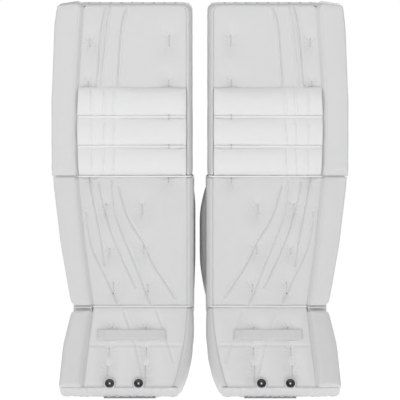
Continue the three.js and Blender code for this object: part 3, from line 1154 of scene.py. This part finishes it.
def shin_strip():
    face, gusset = Outline("shin_face", "shin"), Outline("shin_inner_gusset", "shin")
    left, _ = face.edges(face.high / 2)
    reach = left - gusset.edges(gusset.high / 2)[0]
    low, high = gusset.limits(4)
    path = [(left, up, -1, 0, reach) for up in np.linspace(low, high, 46)]

    def stretch(depths, ups):
        ends = np.array([gusset.limits(d) for d in depths])
        return ends[:, 0] + (ups - low) / (high - low) * (ends[:, 1] - ends[:, 0])

    points, faces = strip_mesh(path, stretch)
    publish("shin_edge", "shin", [("gusset", points, faces)], ["shin_inner_gusset"])


def boot_strip():
    face, gusset = Outline("boot_face", "boot"), Outline("boot_inner_gusset", "boot")
    path = []
    for up in np.linspace(gusset.high, gusset.low, 36):
        border = face.edges(up)[0]
        path.append((border, up, -1, 0, border - gusset.edges(up)[0]))
    points, faces = strip_mesh(path)
    points[:, 2] = np.clip(points[:, 2], gusset.low, gusset.high)
    publish("boot_edge", "boot", [("gusset", points, faces)], ["boot_inner_gusset"])


def toe_strip():
    """The gathered strip under the toe, whose wrinkles run from front to back."""
    gusset = Outline("toe_gusset", "boot")
    left, right = gusset.edges(gusset.middle)
    line, thick = np.linspace(left - 2, right + 6, 90), gusset.high - gusset.low
    rings = []
    depths = (-0.6, -2.0, -0.6, 6, 20, 34, 48, gusset.back - 1, gusset.back, gusset.back - 3, 30, 4)
    floor = (-0.9, -0.2, 0.9, 1.05, 1.05, 1.1, 1.25, 1.3, 1.1, 0, 0, 0)
    for x in line:
        ends = 1 - 0.75 * drop(min(x - line[0], line[-1] - x), 7)
        rings.append([(x, d + 1, gusset.high - share * ends * thick) for d, share in zip(depths, floor)])
    points, faces = subdivided(*lofted(rings))
    under = np.clip((gusset.high - points[:, 2]) / thick, 0, 1)
    folds = 1.7 * ripple(points * (1, 0.2, 1), 8, 3) + 0.9 * ripple(points * (1, 0.6, 1), 4, 7)
    points[:, 2] -= under * np.clip(folds, -0.9, 0.9)
    points[:, 1] += (points[:, 1] < 6) * 1.0 * ripple(points * (1, 0, 1), 8, 12)
    skin = Skin(points, faces)
    parts = [("toe", points, faces)]
    for x in TOE_TICKS:
        places, facing = skin.run_back(x, np.linspace(2, 12, 6), 1, 0.2)
        parts.append(("thread", *tube(places, 0.6, 6, 1.0, facing)))
    publish("toe_strip", "boot", parts, ["toe_gusset"])


def toe_bridge():
    bridge = Outline("toe_bridge", "boot")
    left, right = bridge.edges(bridge.middle)
    x = np.concatenate([[left, left + 0.6, left + 2], np.linspace(left + 5, right - 5, 20),
                        [right - 2, right - 0.6, right]])
    middle = ((bridge.front + bridge.back) / 2, bridge.middle)
    plate = strap([(v, *middle) for v in x], (0, 1, 0), bridge.back - bridge.front,
                  bridge.high - bridge.low, 0.3)
    publish("toe_bridge_plate", "boot", [("bridge", *plate)], ["toe_bridge"])


# ---- breaks

RIDGE_RADIUS = 1.9
RIDGE_DEPTH = 0.6
RIDGE_LAP = 8.5  # how far a ridge runs on over the edge strip
RIDGE_FALL = 0.065
FLAP_DEPTH = 3.4  # how far behind the front of the rolls the flap between them lies
FOLD_INSET = 3.0
FOLD_DEPTHS = (2.6, 56.0)


def make_breaks():
    """The piped ridges across the face at the two breaks, and the folds and flaps behind them."""
    upper, shin, boot = (SECTIONS[name] for name in ("upper", "shin", "boot"))
    face, core, roll = (Outline(node, "shin") for node in ("shin_face", "shin_core", "outer_roll_lower"))
    at_boot, at_knee = ("shin", "boot"), ("upper", "shin")
    for name, pair, up in (("boot", at_boot, 0), ("knee", at_knee, upper.height - shin.height)):
        left, right = face.edges(up)
        x = np.linspace(left - RIDGE_LAP, right + 5, 78)
        depth = RIDGE_DEPTH + RIDGE_FALL * np.maximum(left - x, 0) ** 2
        line = level(x, depth, up)
        line[:, 2] += 0.35 * ripple(line, 26, 4) - up
        # the ridge's piping is lighter than the face: a painted highlight
        publish(f"{name}_break_ridge", pair, [("piping", *tube(line, RIDGE_RADIUS, 12))])

    def knee_gap(y):
        return shin.height + core.limits(y)[1], upper.height + 0.5 + y * upper.sin / upper.cos

    def boot_gap(y):
        return boot.height - 0.5 + y * boot.sin / boot.cos, shin.height + core.limits(y)[0]

    inner = Outline("shin_inner_gusset", "shin").edges(face.high / 2)[0] + FOLD_INSET
    boot_end, knee_end = roll.edges(30), roll.edges(core.high - 20)
    break_fold("knee", at_knee, knee_gap, inner + 3, knee_end[1] - FOLD_INSET)
    break_fold("boot", at_boot, boot_gap, inner, boot_end[1] - 3 * FOLD_INSET)
    knee_end = roll.edges(roll.high - 20)
    for name, pair, up, ends, depth, tall, thick in (
            ("boot_break_flap", at_boot, -1.5, np.add(boot_end, (-3, -13)), FLAP_DEPTH, 4.4, 5.0),
            ("boot_break_gusset", at_boot, -2.5, np.add(boot_end, (-4, -9)), FLAP_DEPTH + 4, 17, 2.0),
            ("knee_break_flap", at_knee, roll.high + 1.2, np.add(knee_end, (-1, -3)), FLAP_DEPTH, 1.6, 5.0)):
        x = np.linspace(*ends, 30)
        line = level(x, roll.front + depth, up)
        line[:, 2] += 0.5 * ripple(line, 18, 6)
        points, faces = strap(line, (0, 0, 1), tall, thick)
        local = SECTIONS[pair[0]].to_local(shin.to_world(points))
        publish(name, pair, [("gusset", local, faces)])


def break_fold(name, pair, gap, inner, outer):
    """The gusset folded into a break, as thick as the wedge between the two sections."""
    depths = np.linspace(*FOLD_DEPTHS, 12)
    rings = []
    for x in np.linspace(inner, outer, 50):
        low, high = np.array([gap(y) for y in depths]).T
        pleat = 0.5 * np.sin(depths * 0.55 + 0.05 * x)
        below = [(x, y, z - 0.4) for y, z in zip(depths, low)]
        above = [(x, y, z + 0.4 + p * 0.2) for y, z, p in zip(depths, high, pleat)]
        rings.append(below + above[::-1])
    points, faces = subdivided(*lofted(rings))
    points[:, 0] += 0.4 * ripple(points, 12, 3)
    local = SECTIONS[pair[0]].to_local(points * MM)
    publish(f"{name}_break_fold", pair, [("gusset", local, faces)])


# ---- cores, backs and channel pads

def cover_core(node, body):
    """The foam core in its sewn cover: its corners are rounded by the remesh."""
    points, faces = cad_mesh(node, SECTION_OF[body])
    points, faces = remeshed(shrunk(points, 0.3), faces, 6)
    points[:, 0] += 0.4 * ripple(points, 24, 2)
    publish(f"{node}_cover", body, [("gusset", points, faces)], [node])


QUILT_PITCH = 46.0
BINDING_INSET = 3.2


def quilted(edges, low, high, face, back, rim, pitch, depth):
    """A pad whose stitched channels cross it at even heights."""
    points, faces = panel_mesh(edges, low, high, face, back, rim)
    points, faces = subdivided(points, faces)
    out = math.copysign(1, face - back)
    share = np.clip(np.abs(points[:, 1] - back) / abs(face - back) * 1.6 - 0.5, 0, 1)
    count = max(1, round((high - low) / pitch))
    for k in range(1, count):
        up = low + (high - low) * k / count
        points[:, 1] -= out * share * depth * bell(points[:, 2] - up, 2.6)
    swell = np.abs(np.sin(math.pi * count * (points[:, 2] - low) / (high - low)))
    points[:, 1] += out * share * (0.4 * depth * swell + 0.3 * ripple(points, 28, 6))
    return points, faces


def back_panel(node, body):
    outline = Outline(node, SECTION_OF[body])
    points, faces = quilted(
        lambda up: np.add(outline.edges(up), (2, -2)), outline.low, outline.high,
        outline.back, outline.front, 3.5, QUILT_PITCH, 1.4)
    parts = [("nylon", points, faces)]
    heights = np.linspace(outline.low + 1.5, outline.high - 1.5, 40)
    inner, outer = np.array([outline.edges(h) for h in heights]).T
    for edge in (inner + BINDING_INSET, outer - BINDING_INSET):
        line = level(edge, outline.back - 2.4, heights)
        parts.append(("binding", *tube(line, 2.4, 10)))
    publish(f"{node}_cover", body, parts, [node])


# Pads in the leg channel: body, low and high x, low and high height, thickness and rib spacing.
CHANNEL_PADS = {
    "thigh_pad": ("upper", (34, 258), (160, 314), 6, 52),
    "knee_pad": ("upper", (84, 227), (14, 146), 14, 33),
    "calf_pad": ("shin", (46, 227), (8, 244), 14, 40),
    "instep_pad": ("boot", (66, 214), (-50, -6), 9, 22),
    "toe_pad": ("boot", (60, 206), (-152, -94), 5, 29),
}


def channel_pad(name):
    body, (left, right), (low, high), thick, pitch = CHANNEL_PADS[name]
    backing = {"upper": "upper_back_panel", "shin": "shin_back_panel", "boot": "boot_core"}[body]
    base = Outline(backing, SECTION_OF[body]).back
    points, faces = quilted(
        lambda up: (left, right), low, high, base + thick, base - 0.5, min(thick, 9), pitch,
        0.18 * thick)
    publish(name, body, [("liner", points, faces)], ())


# ---- straps and buckles

CHANNEL_MIDDLE = (150.0, 100.0)  # x and depth inside the leg channel
BUCKLE_LIFT = 3.2


def around(tree, up, start, stop, lift, count=60):
    """A taut line round whatever is in the tree at one height, from one angle to another."""
    middle = Vector((CHANNEL_MIDDLE[0], CHANNEL_MIDDLE[1], up))
    hits = []
    for angle in np.radians(np.linspace(start, stop, count)):
        out = Vector((math.cos(angle), math.sin(angle), 0))
        hit, _, _, _ = tree.ray_cast(middle + out * 200, -out)
        if hit is None or (hit - middle).dot(out) < 20:
            continue
        here = np.array((hit + out * lift)[:2])
        while len(hits) > 1 and np.cross(hits[-1] - hits[-2], here - hits[-1]) <= 0:
            hits.pop()
        hits.append(here)
    line = smooth_line(hits, 3) if len(hits) > 3 else np.array(hits)
    return np.array([(x, depth, up) for x, depth in line])


def strap_parts(line, width, thick):
    """A webbing strap with a row of stitches along each edge and a ladder buckle near its far end."""
    line = even(line, 4)
    ahead = along(line)
    facing = np.cross(ahead, (0, 0, -1.0))
    middle = len(line) // 2
    if np.dot(facing[middle], line[middle] - (*CHANNEL_MIDDLE, line[0][2])) < 0:
        facing = -facing
    parts = [("webbing", *strap(line, (0, 0, 1), width, thick))]
    for rise in (-width / 2 + 2.5, width / 2 - 2.5):
        parts += stitches(line + facing * (thick / 2 + 0.15) + (0, 0, rise), facing)
    at = len(line) - max(5, round(len(line) * 0.22))
    return parts + buckle(line[at], ahead[at], facing[at], width)


def buckle(place, ahead, facing, width):
    """A ladder buckle: a rounded steel loop with a bar across it."""
    up = np.array((0.0, 0.0, 1.0))
    half_up, half_ahead = width / 2 + 3.5, 9.0
    centre = place + facing * BUCKLE_LIFT
    corners = []
    for c, s in circle(24):
        square = (abs(c) ** 5 + abs(s) ** 5) ** -0.2
        corners.append(centre + ahead * half_ahead * c * square + up * half_up * s * square)
    bar = tube([centre + up * h for h in np.linspace(-half_up, half_up, 9)], 1.5, 10)
    return [("steel", *ring_tube(np.array(corners), 1.7)), ("steel", *bar)]


def ring_tube(line, radius, sides=10):
    """A round tube along a closed line."""
    rings = []
    for before, place, after in zip(np.roll(line, 1, 0), line, np.roll(line, -1, 0)):
        ahead = unit(after - before)
        out = square_to(place - line.mean(0), ahead)
        side = np.cross(ahead, out)
        rings.append([place + radius * (c * out + s * side) for c, s in circle(sides)])
    return lofted(rings, closed=True)


def wrap_straps(name, wrap, holder, heights, width, stop):
    """Straps sewn to a wrap that run on round the padded block it closes against."""
    tree = Skin(*joined([wrap, holder])).tree
    parts = []
    for up in heights:
        parts += strap_parts(around(tree, up, 2, stop, 1.6), width, 2.4)
    publish(f"{name}_straps", name, parts)


def make_boot_strap():
    outline = Outline("boot_strap", "boot")
    tree = Skin(*cad_mesh("boot_strap", "boot")).tree
    line = around(tree, outline.middle, -22, 202, -2.0, 80)
    parts = strap_parts(line, outline.high - outline.low - 2, 3.2)
    publish("boot_strap_webbing", "boot", parts, ["boot_strap"])


# ---- fittings on the boot's face

BAR_STITCH_INSET = 2.6
# Turned profiles: (radius, depth behind the boot's face). The rim's radii are from the washer's edge.
WASHER_RIM = [(-0.3, 2), (0, 0.5), (-0.1, -1.3), (-0.9, -2.2)]
WASHER_LIP = [(10.6, -2.9), (9.4, -3.0), (8.8, -2.4), (8.6, -1), (8.6, 2)]
SCREW_CUP = [
    (8.3, 2), (8.4, -1.8), (8.1, -2.7), (7.2, -3.2), (6.2, -3.0), (5.2, -2.0), (4.2, -1.1), (3.2, -0.7),
    (2.9, -0.9), (2.6, -1.3), (0.02, -1.5),
]
SCREW_DOME = [(2.5, -0.6), (2.4, -1.7), (1.5, -2.2), (0.02, -2.4)]


def make_bar():
    bar = Outline("boot_bar", "boot")
    left, right = bar.edges(bar.middle)
    points, faces = panel_mesh(lambda up: (left, right), bar.low, bar.high, bar.front, 3.4, 1.4, 4)
    points, faces = subdivided(points, faces)
    points[:, 1] += 0.3 * ripple(points, 26, 5)
    parts = [("patch", points, faces)]
    top = Skin(points, faces)
    low, high = bar.low + BAR_STITCH_INSET, bar.high - BAR_STITCH_INSET
    for edge, inward in ((left, 1), (right, -1)):
        near, far = edge + inward * BAR_STITCH_INSET, edge + inward * 14
        box = [(near, low), (near, high), (far, high), (far, low), (near, low), (far, high)]
        parts += stitches(*laid(top, box), 2.6, 1.2)
    publish("boot_bar_patch", "boot", parts, ["boot_bar"])


def make_fittings(skin):
    """The toe's white washers, each with a screw in its cup."""
    for place in ("inner", "outer"):
        washer = Outline(f"toe_washer_{place}", "boot")
        left, right = washer.edges(washer.middle)
        x, up, radius = (left + right) / 2, washer.middle, (right - left) / 2
        base = skin.at(x, up)[0][1]
        rim = [(radius + r, depth) for r, depth in WASHER_RIM] + WASHER_LIP
        ring, cup, dome = (
            lathe([(r, base + depth) for r, depth in profile], (x, up), closed=profile is rim)
            for profile in (rim, SCREW_CUP, SCREW_DOME))
        publish(f"toe_washer_{place}_ring", "boot", [("washer", *ring)], [f"toe_washer_{place}"])
        publish(f"toe_screw_{place}_head", "boot", [("screw", *cup), ("steel", *dome)],
                [f"toe_screw_{place}"])


# ---- making it all

make_camera()
make_stage()
MATERIALS = make_materials()
STUFFING = Stuffing()

for face_name in FACES:
    start_face(face_name)
for roll_place in KNEE_ROLLS:
    start_knee_roll(roll_place)
for roll_node, roll_spec in OUTER_ROLLS.items():
    start_roll(roll_node, *roll_spec)
for wall_side in SIDES:
    start_block("inner_calf_wall", "shin", side=wall_side)
start_block("knee_stack", "upper")
start_block("calf_wrap", "calf_wrap", 4.0, 1.6, 0.8)
start_block("knee_wrap", "knee_wrap", 4.0, 1.4, 0.7)
STUFFING.run()

for face_name in FACES:
    finish_face(face_name)
for roll_place in KNEE_ROLLS:
    finish_knee_roll(roll_place)
for roll_node, roll_spec in OUTER_ROLLS.items():
    finish_roll(roll_node, roll_spec[0])
make_welts()
upper_strip()
shin_strip()
boot_strip()
toe_strip()
toe_bridge()
make_breaks()
for core_node, core_body in (("upper_core", "upper"), ("shin_core", "shin"), ("boot_core", "boot")):
    cover_core(core_node, core_body)
back_panel("upper_back_panel", "upper")
back_panel("shin_back_panel", "shin")
for pad_name in CHANNEL_PADS:
    channel_pad(pad_name)
wall_meshes = [finish_block("inner_calf_wall", "shin", "calf_wall_cover", "gusset", (side,))
               for side in SIDES]
stack_mesh = finish_block("knee_stack", "upper", "knee_stack_cover", "liner")
calf_mesh = finish_block("calf_wrap", "calf_wrap", "calf_wrap_cover", "nylon")
knee_mesh = finish_block("knee_wrap", "knee_wrap", "knee_wrap_cover", "nylon")
wrap_straps("calf_wrap", calf_mesh, wall_meshes[0], (70, 186), 26, 153)
wrap_straps("knee_wrap", knee_mesh, stack_mesh, (70,), 34, 146)
make_boot_strap()
make_bar()
make_fittings(Skin(*STUFFING.result("boot")))
